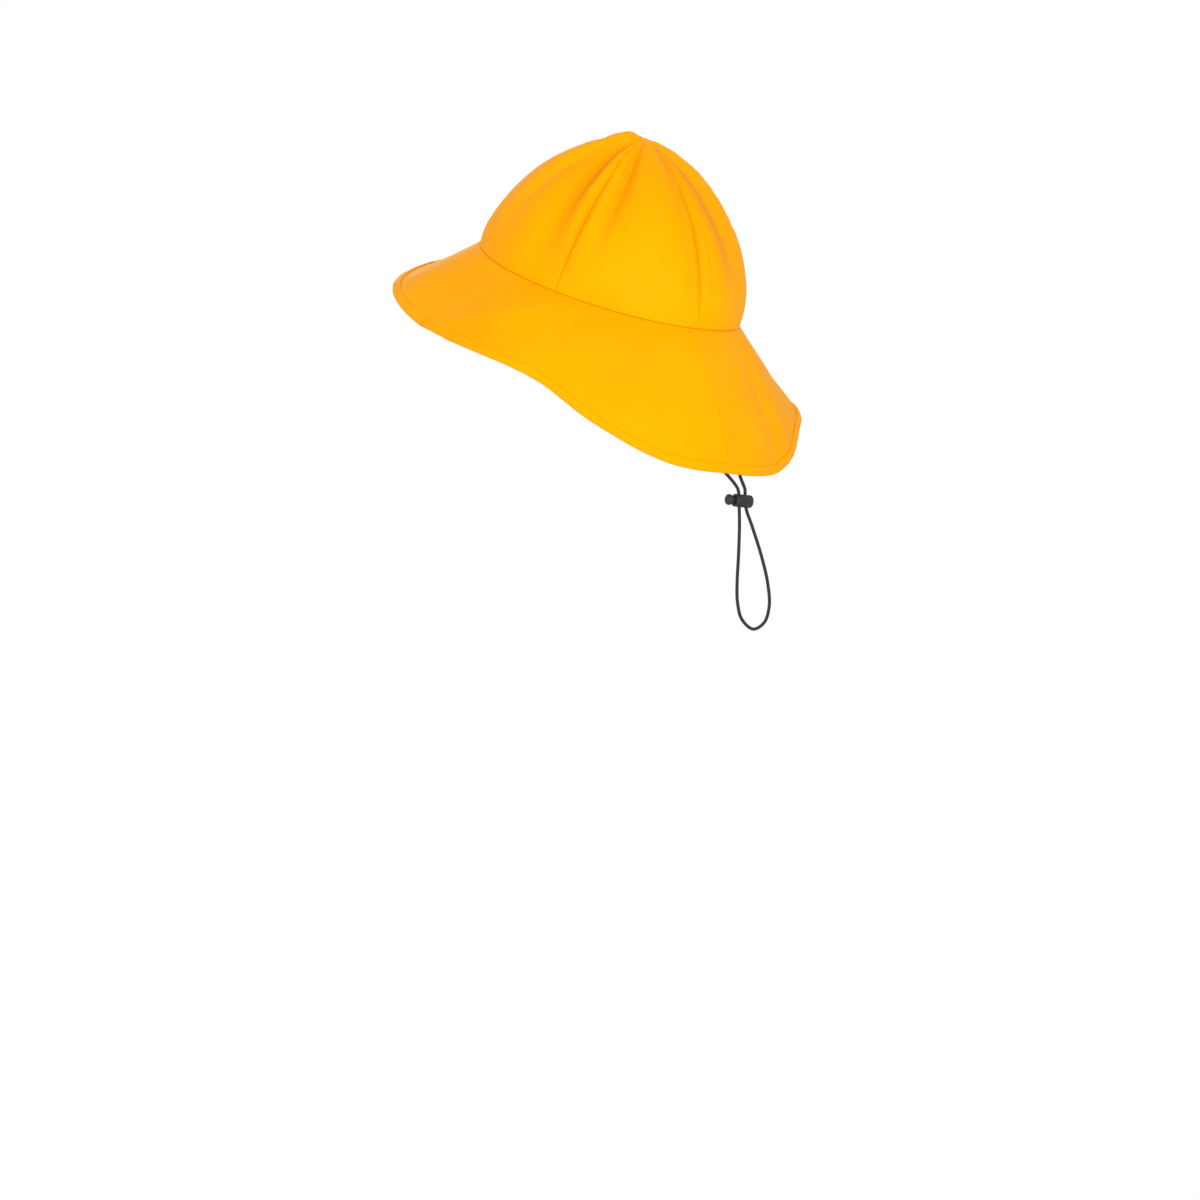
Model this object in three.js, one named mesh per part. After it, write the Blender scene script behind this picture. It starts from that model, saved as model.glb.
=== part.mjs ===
// Sou'wester rain hat of coated cloth, in the form that it takes on a head.
// Millimetres. The origin is the middle of the headband, where the crown is sewn to the brim.
// +Z is up, +Y is the back of the head and +X is the wearer's left.
// Directions round the hat are degrees from the back centre, growing towards the wearer's left.
import * as THREE from 'three';

// Headband, crown and the way the hat sits
const bandLength = 211; // front to back, outside
const bandWidth = 169; // side to side, outside
const crownHeight = 99.5; // headband to apex, outside
const apexShift = -2.2; // apex towards the back (+) or the front (-)
const tiltBack = 26.4; // degrees that the hat is tipped back on the head
const crownTaper = 1.15; // 1 is round in side view, more is pointed
const crownTaperTurn = 0.14; // the back is rounder and the front more pointed by this
const crownFill = 1.08; // 1 is round in side view, more is lower near the headband
const clothWall = 1.4; // coated cloth with its seam allowance
const seamGap = 0.3; // between cloth edges that are sewn together
const gorePuff = 1.6; // how far a gore swells between its seams
const foldDepth = 3; // usual depth of a crown fold
const foldSpread = 1.2; // how much wider, in degrees, the crown folds grow towards the apex
const seamHold = 0.12; // share of the rise or reach over which folds fade in from the headband

// Brim
const brimBack = 111; // width of the brim at the back centre
const fluteDepth = 3; // usual depth of a brim wave
const backRidge = 2.6; // how far the brim's back seam stands up
const backRidgeSpread = 18;
const backRidgeStart = 30; // reach over which the ridge grows
const hemWidth = 5; // folded strip round the edge
const hemWall = 1;
const hemGap = 0.3; // between the strip and the brim
const hemJoint = 88; // degrees, where the strip's ends meet

// Right back of the headband, where the crown sags over the brim
const sagAt = -60; // degrees
const sagSpread = 32; // degrees
const sagDrop = 4.2;
const sagPuff = 2.6;
const sagRise = 0.45; // share of the rise that the puff takes up

// Chin cord, its lock and the tabs that hold its ends
const cordDiameter = 2.2;
const barrelRadius = 4.2;
const barrelLength = 13;
const barrelWall = 1.3;
const plungerTravel = 3;
const plungerHead = 2.6; // thickness of the button
const lockGap = 0.3; // between plunger and barrel
const lockCentre = new THREE.Vector3(-18, 127.3, -164);
const tabWidth = 12;
const tabHeight = 13;
const tabThick = 3;
const tabRise = 4; // how far the tab reaches above the headband
const tabGap = 0.3;

// Fineness of the facets
const goreColumns = 15;
const goreRows = 14;
const brimColumns = 96;
const brimRows = 7;
const cordSides = 8;

const clothYellow = 0xfab508;
const cordBlack = 0x17181a;

// Crown seams: direction at the headband (foot) and near the apex (top), degrees.
const seams = [
  { foot: -4.5, top: 2 },
  { foot: 61, top: 58 },
  { foot: 120, top: 120 },
  { foot: 180, top: 180 },
  { foot: 240, top: 240 },
  { foot: 300, top: 300 },
];

// Crown folds: direction at the lower and upper end in degrees, both ends as shares of the rise
// to the apex, half width in degrees, depth as a share of foldDepth (hollows are negative) and how
// far the middle bends aside in degrees.
const crownFolds = [
  { foot: 72, top: 73, low: 0.06, high: 1, width: 5, depth: -1.5, bend: 0 },
  { foot: 63.5, top: 62, low: 0.08, high: 0.8, width: 3, depth: 0.45, bend: 0 },
  { foot: 102, top: 90, low: 0.04, high: 0.93, width: 6, depth: -0.8, bend: 0 },
  { foot: 114, top: 100, low: 0.2, high: 0.95, width: 8, depth: 0.45, bend: 0 },
  { foot: 50, top: 44, low: 0.1, high: 0.92, width: 4.4, depth: -1.1, bend: 0 },
  { foot: 41, top: 37, low: 0.2, high: 0.95, width: 8, depth: -0.8, bend: 0 },
  { foot: 47, top: 47, low: -0.1, high: 0.4, width: 12, depth: 0.5, bend: 0 },
  { foot: 20, top: 26, low: -0.1, high: 0.5, width: 7, depth: -0.4, bend: 0 },
  { foot: 8, top: 8, low: -0.1, high: 0.5, width: 4, depth: 0.35, bend: 0 },
  { foot: -4, top: 0, low: 0.03, high: 0.6, width: 3, depth: 0.55, bend: -4 },
  { foot: -7, top: -2, low: 0.05, high: 0.6, width: 1.6, depth: -0.35, bend: -4.5 },
  { foot: -35, top: -30, low: 0.05, high: 1, width: 10, depth: -1.6, bend: -4 },
  { foot: 146, top: 145, low: 0.76, high: 0.96, width: 26, depth: 1, bend: 7.6 },
  { foot: 145, top: 128, low: 0.09, high: 0.75, width: 26, depth: -0.78, bend: -16 },
  { foot: -61, top: -49, low: 0.1, high: 0.47, width: 7.1, depth: -0.35, bend: 2.6 },
  { foot: 152, top: 148, low: 0.05, high: 0.9, width: 8, depth: -0.6, bend: 0 },
  { foot: 205, top: 212, low: 0.1, high: 0.95, width: 7, depth: -0.7, bend: 0 },
  { foot: 228, top: 226, low: 0, high: 0.7, width: 6, depth: 0.35, bend: 0 },
  { foot: 268, top: 272, low: 0.05, high: 0.9, width: 9, depth: -0.7, bend: 0 },
];

// Hollows along the crown seams: number of the seam, ends as shares of the rise, half widths left
// and right of the seam in degrees and depth as a share of foldDepth.
const seamHollows = [
  { seam: 0, low: 0.02, high: 0.66, left: 2.5, right: 4, depth: 0.85 },
  { seam: 1, low: 0.02, high: 0.82, left: 2.2, right: 5, depth: 1 },
  { seam: 2, low: 0.05, high: 0.9, left: 3, right: 3, depth: 0.35 },
  { seam: 3, low: 0.05, high: 0.9, left: 3, right: 2.5, depth: 0.4 },
  { seam: 4, low: 0.1, high: 0.95, left: 2.5, right: 3.5, depth: 0.45 },
  { seam: 5, low: 0, high: 0.9, left: 3, right: 2, depth: 0.4 },
];

// Brim, by direction from the back centre: reach as a share of brimBack, slope below the
// headband's plane and bow (change of slope from the headband to the edge) in degrees.
const brimSections = [
  { at: 0, reach: 0.991, slope: 40.8, bow: 19.3 },
  { at: 15, reach: 0.988, slope: 39.8, bow: 19.7 },
  { at: 30, reach: 0.844, slope: 37.9, bow: 19.4 },
  { at: 45, reach: 0.701, slope: 33.8, bow: 17.4 },
  { at: 60, reach: 0.677, slope: 32.1, bow: 15 },
  { at: 90, reach: 0.61, slope: 39.4, bow: 14 },
  { at: 120, reach: 0.584, slope: 40.1, bow: 2 },
  { at: 150, reach: 0.57, slope: 38.4, bow: -12 },
  { at: 180, reach: 0.575, slope: 32.2, bow: -17 },
  { at: 210, reach: 0.57, slope: 34.4, bow: -16 },
  { at: 240, reach: 0.59, slope: 36.6, bow: -11 },
  { at: 270, reach: 0.672, slope: 46.7, bow: -7.3 },
  { at: 300, reach: 0.702, slope: 44, bow: -0.8 },
  { at: 315, reach: 0.717, slope: 45.3, bow: 9.3 },
  { at: 330, reach: 0.816, slope: 46, bow: 14.4 },
  { at: 345, reach: 0.945, slope: 43.2, bow: 17.5 },
];

// Brim waves: as the crown folds, with ends as shares of the reach and depth of fluteDepth.
const brimFlutes = [
  { foot: -28, top: -10, low: 0, high: 1.9, width: 4.6, depth: -0.75, bend: 0 },
  { foot: -35, top: -19, low: 0.1, high: 2.1, width: 5, depth: 0.5, bend: 0 },
  { foot: -47, top: -33, low: -0.2, high: 0.55, width: 3.4, depth: -0.55, bend: 0 },
  { foot: -25, top: -38, low: 0.3, high: 0.95, width: 2.2, depth: -0.3, bend: 0 },
  { foot: -9, top: -10, low: 0.15, high: 1.9, width: 6, depth: 0.2, bend: 0 },
  { foot: 14, top: 20, low: 0.35, high: 1.35, width: 12, depth: 0.9, bend: 0 },
  { foot: 51, top: 93, low: 0, high: 1.3, width: 7, depth: 0.7, bend: 0 },
  { foot: 98, top: 98, low: -0.2, high: 1.2, width: 16, depth: -0.9, bend: 0 },
  { foot: 165, top: 160, low: 0.2, high: 2, width: 14, depth: 0.6, bend: 0 },
  { foot: 208, top: 212, low: 0.2, high: 2, width: 13, depth: -0.6, bend: 0 },
  { foot: 252, top: 248, low: 0.1, high: 2, width: 12, depth: 0.7, bend: 0 },
];

// Cord route, hand chosen: from the left tab to the lock, the loop under it, and from the
// right tab to the lock.
const cordLeft = [
  [80.3, -4.2, -8.4], [80.2, -7.4, -15], [78.8, -4, -28], [74.5, 12, -47], [66, 34, -66],
  [52, 60, -85], [34, 83.5, -104], [14.5, 104, -122], [1, 118.5, -136.5], [-7.2, 125.6, -147.5],
  [-14.4, 127.2, -156], [-15.3, 127.3, -159.4],
];
const cordLoop = [
  [-15.6, 127.3, -168.5], [-15.4, 127.8, -180], [-14.4, 128, -200], [-13.2, 128, -218],
  [-13.4, 128, -230], [-16.6, 128, -241], [-25.5, 128, -247], [-34.6, 128, -242],
  [-38.6, 128, -231], [-37.4, 128, -216], [-32.6, 128, -199], [-25.4, 127.8, -180],
  [-21, 127.3, -168.5],
];
const cordRight = [
  [-80.3, -4.2, -8.4], [-80.2, -7.4, -15], [-79, -4, -28], [-75.5, 12, -47], [-68.5, 34, -66],
  [-57.5, 60, -85], [-44.5, 83.5, -104], [-31.5, 104, -122], [-21.5, 118.5, -136.5],
  [-17.6, 125.6, -147.5], [-20.2, 127.2, -156], [-20.3, 127.3, -159.4],
];

const radians = THREE.MathUtils.degToRad;
const mix = THREE.MathUtils.lerp;
const halfLength = bandLength / 2;
const halfWidth = bandWidth / 2;

// Signed turn from one direction to another, in degrees, between -180 and 180.
const turnTo = (from, to) => ((((to - from) % 360) + 540) % 360) - 180;

// A bump of height 1 at a direction, fading over the spread.
const bumpAt = (deg, at, spread) => Math.exp(-((turnTo(at, deg) / spread) ** 2));

// Height of all the folds of a table at a direction and a share of the way up or out. The
// headband's seam holds the cloth flat.
function foldHeight(folds, deg, share, spread) {
  const held = THREE.MathUtils.smoothstep(share, 0, seamHold);
  const wider = 1 + spread * Math.max(0, share - 0.4);
  let height = 0;
  for (const fold of folds) {
    const along = THREE.MathUtils.clamp((share - fold.low) / (fold.high - fold.low), 0, 1);
    const swell = Math.sin(Math.PI * along);
    const at = mix(fold.foot, fold.top, along) + fold.bend * swell;
    height += fold.depth * swell * bumpAt(deg, at, fold.width * wider);
  }
  return height * held;
}

const seamDegrees = (seam, rise) => mix(seam.foot, seam.top, rise);

// Depth of the valleys that come to a crease on the crown seams.
function hollowDepth(deg, rise) {
  let depth = 0;
  for (const hollow of seamHollows) {
    const aside = turnTo(seamDegrees(seams[hollow.seam], rise), deg);
    const along = THREE.MathUtils.clamp((rise - hollow.low) / (hollow.high - hollow.low), 0, 1);
    const width = aside > 0 ? hollow.left : hollow.right;
    depth += hollow.depth * Math.exp(-Math.abs(aside) / width) * Math.sin(Math.PI * along) ** 0.6;
  }
  return depth * THREE.MathUtils.smoothstep(rise, 0, seamHold);
}

// Smooth value of a brim column at any direction, through the rows of the sections.
function brimValue(column, deg) {
  const place = ((deg % 360) + 360) % 360;
  const first = brimSections.findLastIndex((section) => section.at <= place);
  const row = (shift) => {
    const turns = Math.floor((first + shift) / brimSections.length);
    const section = brimSections[first + shift - turns * brimSections.length];
    return { at: section.at + 360 * turns, value: section[column] };
  };
  const [before, here, next, after] = [row(-1), row(0), row(1), row(2)];
  const span = next.at - here.at;
  const u = (place - here.at) / span;
  const slopeHere = ((next.value - before.value) / (next.at - before.at)) * span;
  const slopeNext = ((after.value - here.value) / (after.at - here.at)) * span;
  return (
    (2 * u ** 3 - 3 * u ** 2 + 1) * here.value + (u ** 3 - 2 * u ** 2 + u) * slopeHere +
    (3 * u ** 2 - 2 * u ** 3) * next.value + (u ** 3 - u ** 2) * slopeNext
  );
}

// Outward direction in the headband's plane.
function bandNormal(deg) {
  const t = radians(deg);
  return new THREE.Vector3(Math.sin(t) / halfWidth, Math.cos(t) / halfLength, 0).normalize();
}

function bandPoint(deg) {
  const t = radians(deg);
  const drop = sagDrop * bumpAt(deg, sagAt, sagSpread);
  return new THREE.Vector3(halfWidth * Math.sin(t), halfLength * Math.cos(t), -drop);
}

// Share of the way across its gore, from 0 at one seam to 1 at the next.
function acrossGore(deg, rise) {
  for (let k = 0; k < seams.length; k += 1) {
    const from = seamDegrees(seams[k], rise);
    const span = turnTo(from, seamDegrees(seams[(k + 1) % seams.length], rise));
    const across = turnTo(from, deg) / span;
    if (across >= 0 && across <= 1) return across;
  }
  return 0;
}

// Crown without its folds: rise goes from 0 at the headband to 1 at the apex.
function crownForm(deg, rise) {
  const t = radians(deg);
  const lift = (rise * Math.PI) / 2;
  const taper = crownTaper - crownTaperTurn * Math.cos(t);
  const puff = sagPuff * bumpAt(deg, sagAt, sagSpread) * Math.sin(Math.PI * Math.min(1, rise / sagRise));
  const radius = Math.cos(lift) ** taper;
  const drop = sagDrop * bumpAt(deg, sagAt, sagSpread) * (1 - rise) ** 2;
  const point = new THREE.Vector3(
    halfWidth * Math.sin(t) * radius,
    halfLength * Math.cos(t) * radius + apexShift * (1 - Math.cos(lift)),
    crownHeight * Math.sin(lift) ** crownFill - drop,
  );
  return point.addScaledVector(bandNormal(deg), puff);
}

// Brim without its waves: out goes from 0 at the headband to 1 at the edge.
function brimForm(deg, out) {
  const reach = brimBack * brimValue('reach', deg) * out;
  const slope = radians(brimValue('slope', deg) + brimValue('bow', deg) * (out / 2 - 0.5));
  const point = bandPoint(deg).addScaledVector(bandNormal(deg), reach * Math.cos(slope));
  point.z -= reach * Math.sin(slope);
  return point;
}

// Outer point and outward normal of a form that is raised by a height function.
function raised(form, height, deg, share, upward) {
  const nudge = 0.01;
  const low = Math.max(0, share - nudge);
  const high = Math.min(0.995, share + nudge);
  const lift = (d, s) => {
    const along = form(d, Math.min(0.995, s + nudge)).sub(form(d, Math.max(0, s - nudge)));
    const round = form(d + 0.5, s).sub(form(d - 0.5, s));
    const normal = along.cross(round).multiplyScalar(upward).normalize();
    return form(d, s).addScaledVector(normal, height(d, s));
  };
  const along = lift(deg, high).sub(lift(deg, low));
  const round = lift(deg + 0.5, share).sub(lift(deg - 0.5, share));
  return { point: lift(deg, share), normal: along.cross(round).multiplyScalar(upward).normalize() };
}

const crownHeightOf = (deg, rise) =>
  gorePuff * Math.sin(Math.PI * acrossGore(deg, rise)) * Math.sin(Math.PI * rise) +
  foldDepth * (foldHeight(crownFolds, deg, rise, foldSpread) - hollowDepth(deg, rise));

// The waves and the soft ridge along the back seam.
function brimHeightOf(deg, out) {
  const reach = brimBack * brimValue('reach', deg) * out;
  const aside = Math.abs(radians(turnTo(0, deg))) * (halfLength + reach / 2);
  const ridge = backRidge * THREE.MathUtils.smoothstep(reach, 0, backRidgeStart);
  return fluteDepth * foldHeight(brimFlutes, deg, out, 0) + ridge * Math.exp(-aside / backRidgeSpread);
}
const crownAt = (deg, rise) => raised(crownForm, crownHeightOf, deg, rise, 1);
const brimAt = (deg, out) => raised(brimForm, brimHeightOf, deg, out, -1);

// Closed solid between two grids of points. Each grid is a list of columns that run upwards,
// with the columns in the order that turns from the back to the wearer's left.
function sheetSolid(outer, inner) {
  const places = new Map();
  const positions = [];
  const faces = [];
  const vertex = (p) => {
    const key = `${p.x.toFixed(4)} ${p.y.toFixed(4)} ${p.z.toFixed(4)}`;
    if (!places.has(key)) {
      places.set(key, positions.length / 3);
      positions.push(p.x, p.y, p.z);
    }
    return places.get(key);
  };
  const triangle = (a, b, c) => {
    const [i, j, k] = [vertex(a), vertex(b), vertex(c)];
    if (i !== j && j !== k && k !== i) faces.push(i, j, k);
  };
  const quad = (a, b, c, d) => {
    triangle(a, b, c);
    triangle(a, c, d);
  };
  const columns = outer.length - 1;
  const rows = outer[0].length - 1;
  for (let i = 0; i < columns; i += 1) {
    for (let j = 0; j < rows; j += 1) {
      quad(outer[i][j], outer[i][j + 1], outer[i + 1][j + 1], outer[i + 1][j]);
      quad(inner[i][j], inner[i + 1][j], inner[i + 1][j + 1], inner[i][j + 1]);
    }
    quad(outer[i][0], outer[i + 1][0], inner[i + 1][0], inner[i][0]);
    quad(outer[i][rows], inner[i][rows], inner[i + 1][rows], outer[i + 1][rows]);
  }
  for (let j = 0; j < rows; j += 1) {
    quad(outer[0][j], inner[0][j], inner[0][j + 1], outer[0][j + 1]);
    quad(outer[columns][j], outer[columns][j + 1], inner[columns][j + 1], inner[columns][j]);
  }
  const geometry = new THREE.BufferGeometry();
  geometry.setAttribute('position', new THREE.Float32BufferAttribute(positions, 3));
  geometry.setIndex(faces);
  geometry.computeVertexNormals();
  return geometry;
}

// One gore of the crown, between two seams, ending in a point at the apex.
function goreGeometry(k) {
  const outer = [];
  const inner = [];
  const lastRise = 0.97;
  for (let i = 0; i <= goreColumns; i += 1) {
    const outerColumn = [];
    const innerColumn = [];
    for (let j = 0; j < goreRows; j += 1) {
      const rise = (lastRise * j) / (goreRows - 1);
      const from = seamDegrees(seams[k], rise);
      const span = turnTo(from, seamDegrees(seams[(k + 1) % seams.length], rise));
      const flat = crownForm(from + span / 2, rise);
      const radius = Math.hypot(flat.x, flat.y - apexShift * (1 - Math.cos((rise * Math.PI) / 2)));
      const edge = THREE.MathUtils.radToDeg(seamGap / 2 / radius);
      const deg = from + mix(edge, span - edge, i / goreColumns);
      const { point, normal } = crownAt(deg, rise);
      const inward = j === 0 ? bandNormal(deg) : normal;
      if (j === 0) point.z += seamGap / 2;
      outerColumn.push(point);
      innerColumn.push(point.clone().addScaledVector(inward, -clothWall));
    }
    const from = seamDegrees(seams[k], 1);
    const middle = radians(from + turnTo(from, seamDegrees(seams[(k + 1) % seams.length], 1)) / 2);
    const tip = new THREE.Vector3(
      seamGap * Math.sin(middle),
      apexShift + seamGap * Math.cos(middle),
      crownHeight,
    );
    outerColumn.push(tip);
    innerColumn.push(tip.clone().setZ(tip.z - clothWall));
    outer.push(outerColumn);
    inner.push(innerColumn);
  }
  return sheetSolid(outer, inner);
}

// Directions of the brim's columns, from one side of the back seam to the other.
const seamEdge = THREE.MathUtils.radToDeg(seamGap / 2 / halfLength);
const brimDirections = Array.from(
  { length: brimColumns + 1 },
  (_, i) => mix(seamEdge, 360 - seamEdge, i / brimColumns),
);

// The brim, one sheet that goes round from one side of the back seam to the other.
function brimGeometry() {
  const outer = [];
  const inner = [];
  for (const deg of brimDirections) {
    const outerColumn = [];
    const innerColumn = [];
    for (let j = 0; j <= brimRows; j += 1) {
      const out = 1 - j / brimRows;
      const { point, normal } = brimAt(deg, out);
      if (j === brimRows) {
        const slope = radians(brimValue('slope', deg) - brimValue('bow', deg) / 2);
        point.z -= seamGap / 2;
        innerColumn.push(point.clone().addScaledVector(bandNormal(deg), -clothWall / Math.sin(slope)));
      } else {
        innerColumn.push(point.clone().addScaledVector(normal, -clothWall));
      }
      outerColumn.push(point);
    }
    outer.push(outerColumn);
    inner.push(innerColumn);
  }
  return sheetSolid(outer, inner);
}

// The strip folded over the brim's edge: a channel section swept round the edge, with its
// sections at the brim's own columns.
function hemGeometry() {
  const near = hemGap;
  const far = hemGap + hemWall;
  const under = -clothWall - hemGap;
  const outerSection = [[-hemWidth, far], [far, far], [far, under - hemWall], [-hemWidth, under - hemWall]];
  const innerSection = [[-hemWidth, near], [near, near], [near, under], [-hemWidth, under]];
  const gap = THREE.MathUtils.radToDeg(hemGap / 2 / halfWidth);
  const apart = 180 / brimColumns;
  const between = [...brimDirections, ...brimDirections.map((deg) => deg + 360)].filter(
    (deg) => deg > hemJoint + apart && deg < hemJoint + 360 - apart,
  );
  const outer = [];
  const inner = [];
  for (const deg of [hemJoint + gap, ...between, hemJoint + 360 - gap]) {
    const { point, normal } = brimAt(deg, 1);
    const outwards = point.clone().sub(brimAt(deg, 1 - 1 / brimRows).point).normalize();
    const place = ([along, up]) => point.clone().addScaledVector(outwards, along).addScaledVector(normal, up);
    outer.push(outerSection.map(place).reverse());
    inner.push(innerSection.map(place).reverse());
  }
  return sheetSolid(outer, inner);
}

// A cord along a smooth curve through its route.
function cordGeometry(route, steps) {
  const section = new THREE.Shape();
  for (let i = 0; i < cordSides; i += 1) {
    const angle = (2 * Math.PI * (i + 0.5)) / cordSides;
    const [x, y] = [Math.cos(angle) * (cordDiameter / 2), Math.sin(angle) * (cordDiameter / 2)];
    if (i === 0) section.moveTo(x, y);
    else section.lineTo(x, y);
  }
  section.closePath();
  const path = new THREE.CatmullRomCurve3(route.map((p) => new THREE.Vector3(...p)));
  return new THREE.ExtrudeGeometry(section, { steps, extrudePath: path });
}

// A turned piece whose axis lies along X. The profile holds pairs of place along the axis
// and radius, and starts and ends on the axis.
function turnedGeometry(profile) {
  const sides = 16;
  const points = profile.map(([along, radius]) => new THREE.Vector2(radius, along));
  const geometry = new THREE.LatheGeometry(points, sides, Math.PI / sides);
  geometry.rotateZ(-Math.PI / 2);
  return geometry;
}

// Barrel of the lock, open at the end where the plunger goes in.
function barrelGeometry() {
  const half = barrelLength / 2;
  const bore = barrelRadius - barrelWall;
  const bevel = barrelWall / 2;
  return turnedGeometry([
    [-half, 0], [-half, barrelRadius - bevel], [-half + bevel, barrelRadius], [half - bevel, barrelRadius],
    [half, barrelRadius - bevel], [half, bore], [-half + barrelWall, bore], [-half + barrelWall, 0],
  ]);
}

// Plunger: a stem in the barrel's bore and a button that stands out by its travel.
function plungerGeometry() {
  const half = barrelLength / 2;
  const stem = barrelRadius - barrelWall - lockGap;
  const button = barrelRadius - barrelWall / 2;
  const under = half + plungerTravel;
  const top = under + plungerHead;
  const bevel = plungerHead / 3;
  return turnedGeometry([
    [-half + barrelWall + lockGap, 0], [-half + barrelWall + lockGap, stem], [under, stem], [under, button],
    [top - bevel, button], [top, button - bevel], [top, 0],
  ]);
}

const plain = (color, roughness) => new THREE.MeshStandardMaterial({ color, roughness, metalness: 0 });
const clothMaterial = () => plain(clothYellow, 0.52);
const blackMaterial = (roughness) => plain(cordBlack, roughness);

function named(name, geometry, material) {
  const mesh = new THREE.Mesh(geometry, material);
  mesh.name = name;
  return mesh;
}

const hat = new THREE.Group();
const cloth = new THREE.Group();
cloth.rotation.x = -radians(tiltBack);
hat.add(cloth);

seams.forEach((seam, k) => cloth.add(named(`crown_gore_${k + 1}`, goreGeometry(k), clothMaterial())));
cloth.add(named('brim_panel', brimGeometry(), clothMaterial()));
cloth.add(named('edge_binding', hemGeometry(), clothMaterial()));

// The tabs stand inside the headband, clear of the brim's sewn edge.
for (const [name, side, at] of [['cord_tab_left', 1, 90], ['cord_tab_right', -1, 270]]) {
  const slope = radians(brimValue('slope', at) - brimValue('bow', at) / 2);
  const bandInside = halfWidth * Math.sqrt(1 - (tabWidth / bandLength) ** 2) - clothWall / Math.sin(slope);
  const tab = named(name, new THREE.BoxGeometry(tabThick, tabWidth, tabHeight), blackMaterial(0.8));
  tab.position.set(side * (bandInside - tabGap - tabThick / 2), 0, tabRise - tabHeight / 2);
  cloth.add(tab);
}

hat.add(named('chin_cord_left', cordGeometry(cordLeft, 26), blackMaterial(0.8)));
hat.add(named('chin_cord_right', cordGeometry(cordRight, 26), blackMaterial(0.8)));
hat.add(named('chin_cord_loop', cordGeometry(cordLoop, 28), blackMaterial(0.8)));

for (const [name, geometry] of [
  ['cord_stopper_barrel', barrelGeometry()],
  ['cord_stopper_plunger', plungerGeometry()],
]) {
  const piece = named(name, geometry, blackMaterial(0.45));
  piece.position.copy(lockCentre);
  hat.add(piece);
}

export default hat;
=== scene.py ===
# Sou'wester rain hat of coated cloth, with its chin cord and cord lock.
# Metres. The origin is the middle of the headband, +Z is up, +Y the back of the head, +X the wearer's left.
# The cloth is worked out on an upright hat and then tipped back. Directions round the hat are degrees
# from the back centre, growing towards the wearer's left.
import math

import bmesh
import bpy
import numpy as np
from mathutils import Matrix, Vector


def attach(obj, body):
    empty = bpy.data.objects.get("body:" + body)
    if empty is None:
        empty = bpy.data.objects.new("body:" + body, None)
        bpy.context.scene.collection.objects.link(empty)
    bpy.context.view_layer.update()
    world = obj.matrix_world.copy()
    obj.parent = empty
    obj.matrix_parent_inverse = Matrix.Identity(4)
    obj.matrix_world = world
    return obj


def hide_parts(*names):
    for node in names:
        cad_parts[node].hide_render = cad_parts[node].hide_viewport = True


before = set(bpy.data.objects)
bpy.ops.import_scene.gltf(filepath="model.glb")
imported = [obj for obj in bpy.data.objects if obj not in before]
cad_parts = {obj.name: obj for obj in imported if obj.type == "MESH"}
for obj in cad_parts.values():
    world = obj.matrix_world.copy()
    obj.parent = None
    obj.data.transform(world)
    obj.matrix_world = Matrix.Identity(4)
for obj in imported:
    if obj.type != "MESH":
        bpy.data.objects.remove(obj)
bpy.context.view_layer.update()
print("frame loaded:", len(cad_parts), "nodes")

# ---- objects and directions
def addObject(name, data):
    thing = bpy.data.objects.new(name, data)
    bpy.context.scene.collection.objects.link(thing)
    return thing


def wayTo(turn, rise):
    # direction by degrees from the hat's back towards its left, and degrees above its level
    turn, rise = math.radians(turn), math.radians(rise)
    return Vector((math.sin(turn) * math.cos(rise), math.cos(turn) * math.cos(rise), math.sin(rise)))


def aim(thing, place, back):
    # the thing stands at a place and looks away from back
    thing.location = place
    thing.rotation_mode = "QUATERNION"
    thing.rotation_quaternion = Vector(back).to_track_quat("Z", "Y")


# ---- camera
cameraView = {
    "place": (1.6326, 2.4429, -0.6058),
    "heading": 33.63,
    "rise": -7.56,
    "lens": 133.5,
}


def makeCamera():
    data = bpy.data.cameras.new("studioCamera")
    data.lens = cameraView["lens"]
    data.sensor_width = 36
    data.clip_start = 0.05
    data.clip_end = 50
    camera = addObject("studioCamera", data)
    aim(camera, cameraView["place"], wayTo(cameraView["heading"], cameraView["rise"]))
    bpy.context.scene.camera = camera


makeCamera()


# ---- points, meshes and node trees
def unit(ways):
    return ways / np.linalg.norm(ways, axis=-1, keepdims=True)


def runAlong(points, axis):
    # distance from the start of a line, or of each row or column of a grid
    steps = np.linalg.norm(np.diff(points, axis=axis), axis=-1)
    return np.concatenate([np.zeros_like(np.take(steps, [0], axis)), np.cumsum(steps, axis=axis)], axis=axis)


def between(at, places, points):
    # points looked up at places along their line
    return np.stack([np.interp(at, places, points[:, k]) for k in range(3)], axis=-1)


def addNode(tree, kind, place=(0, 0), inputs=(), **settings):
    node = tree.nodes.new(kind)
    node.location = (place[0] * 200, place[1] * 200)
    for name, value in settings.items():
        setattr(node, name, value)
    for name, value in dict(inputs).items():
        node.inputs[name].default_value = value
    return node


def meshFrom(name, points, faces, edges=()):
    mesh = bpy.data.meshes.new(name)
    mesh.from_pydata([tuple(p) for p in points], list(edges), [tuple(int(i) for i in f) for f in faces])
    mesh.update()
    return addObject(name, mesh)


def setUv(piece, values):
    # one pair of values for each vertex
    layer = piece.data.uv_layers.new(name="clothUv")
    corners = np.empty(len(piece.data.loops), np.int32)
    piece.data.loops.foreach_get("vertex_index", corners)
    layer.data.foreach_set("uv", np.asarray(values, np.float32)[corners].ravel())


def mergeDoubles(piece, near):
    work = bmesh.new()
    work.from_mesh(piece.data)
    bmesh.ops.remove_doubles(work, verts=work.verts, dist=near)
    bmesh.ops.dissolve_degenerate(work, dist=near / 10, edges=work.edges)
    work.to_mesh(piece.data)
    work.free()
    piece.data.validate()


def ringFaces(first, second, sides):
    # faces between two closed rings of points
    return [(first + j, first + (j + 1) % sides, second + (j + 1) % sides, second + j) for j in range(sides)]


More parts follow.
